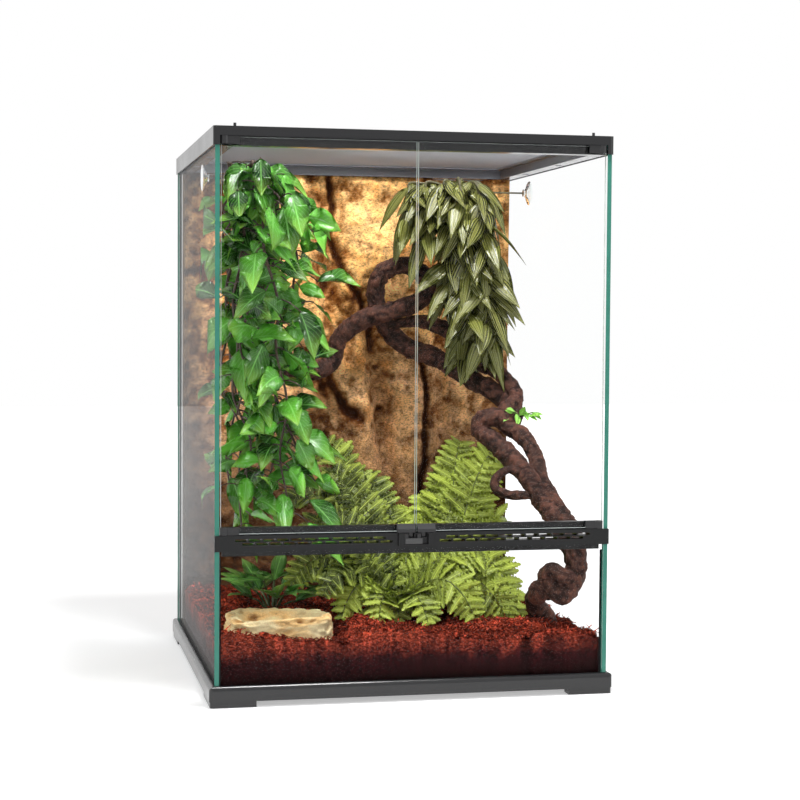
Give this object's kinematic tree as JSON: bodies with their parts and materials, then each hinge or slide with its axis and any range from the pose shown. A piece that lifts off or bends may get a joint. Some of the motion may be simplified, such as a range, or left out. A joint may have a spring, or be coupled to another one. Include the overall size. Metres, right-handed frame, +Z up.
{
  "type": "reptile terrarium",
  "caption": "Front-opening glass terrarium with a vent strip, twin hinged doors, a lift-off screen lid, a rock background, a water dish, a twisted vine and plastic plants.",
  "frame": {"origin": "centre of the base footprint, on the plane the feet stand on", "axes": "+Z up, +X to the right seen from the front, front with its doors facing -Y"},
  "size_m": [0.45, 0.45, 0.6215],
  "materials": {
    "frame": "fine matt grain, dark charcoal",
    "trim": "smooth black moulding",
    "glass": "clear float glass with green edges",
    "sealant": "black silicone",
    "plate": "plain satin plate",
    "screen": "black coated wire",
    "rock": "painted rough foam rock",
    "soil": "loose bark and coconut fibre",
    "dish": "sand-coloured rough resin stone",
    "vine": "rough bark-textured bendable vine",
    "leaf": "satin green leaf",
    "leaf_olive": "satin striped leaf",
    "fern": "matt yellow-green leaf",
    "cup": "clear soft vinyl"
  },
  "bodies": {
    "enclosure": {"base_frame": "frame", "floor_glass": "glass", "side_glass_left": "glass", "side_glass_right": "glass", "back_glass": "glass", "window_glass": "glass", "silicone_beads": "sealant", "vent_strip": "frame", "lock_housing": "trim", "top_frame": "frame", "port_block_left": "frame", "port_block_right": "frame", "rock_background": "rock", "substrate": "soil", "water_dish": "dish", "twisted_vine": "vine", "broad_leaf_plant": "leaf", "striped_plant": "leaf_olive", "large_fern": "fern", "small_fern": "fern", "ground_plant": "leaf", "leaf_sprig": "fern", "suction_cups": "cup"},
    "door_left": {"door_glass_left": "glass", "hinge_shoes_left": "trim", "door_pull_left": "trim"},
    "door_right": {"door_glass_right": "glass", "hinge_shoes_right": "trim", "door_pull_right": "trim"},
    "lid": {"lid_flange": "frame", "lid_frame": "frame", "lid_screen": "screen"},
    "lock_slider": {"lock_bolt": "trim", "lock_plate": "plate"},
    "latch_front_left": {"latch_front_left": "trim"},
    "latch_front_right": {"latch_front_right": "trim"},
    "latch_rear_left": {"latch_rear_left": "trim"},
    "latch_rear_right": {"latch_rear_right": "trim"},
    "port_cover_left": {"port_cover_left": "trim"},
    "port_cover_right": {"port_cover_right": "trim"}
  },
  "joints": [
    {"name": "door_left_swing", "type": "hinge", "parent": "enclosure", "child": "door_left", "pos_m": [-0.2088, -0.217, 0.396], "axis": [0, 0, -1], "range_deg": [0, 110]},
    {"name": "door_right_swing", "type": "hinge", "parent": "enclosure", "child": "door_right", "pos_m": [0.2088, -0.217, 0.396], "axis": [0, 0, 1], "range_deg": [0, 110]},
    {"name": "lid_lift", "type": "slide", "parent": "enclosure", "child": "lid", "axis": [0, 0, 1], "range_m": [0, 0.06]},
    {"name": "latch_front_left_slide", "type": "slide", "parent": "enclosure", "child": "latch_front_left", "axis": [0, 1, 0], "range_m": [0, 0.005]},
    {"name": "latch_front_right_slide", "type": "slide", "parent": "enclosure", "child": "latch_front_right", "axis": [0, 1, 0], "range_m": [0, 0.005]},
    {"name": "latch_rear_left_slide", "type": "slide", "parent": "enclosure", "child": "latch_rear_left", "axis": [0, -1, 0], "range_m": [0, 0.005]},
    {"name": "latch_rear_right_slide", "type": "slide", "parent": "enclosure", "child": "latch_rear_right", "axis": [0, -1, 0], "range_m": [0, 0.005]},
    {"name": "lock_slide", "type": "slide", "parent": "enclosure", "child": "lock_slider", "axis": [1, 0, 0], "range_m": [0, 0.006]},
    {"name": "port_left_slide", "type": "slide", "parent": "enclosure", "child": "port_cover_left", "axis": [-1, 0, 0], "range_m": [0, 0.038]},
    {"name": "port_right_slide", "type": "slide", "parent": "enclosure", "child": "port_cover_right", "axis": [1, 0, 0], "range_m": [0, 0.038]}
  ]
}
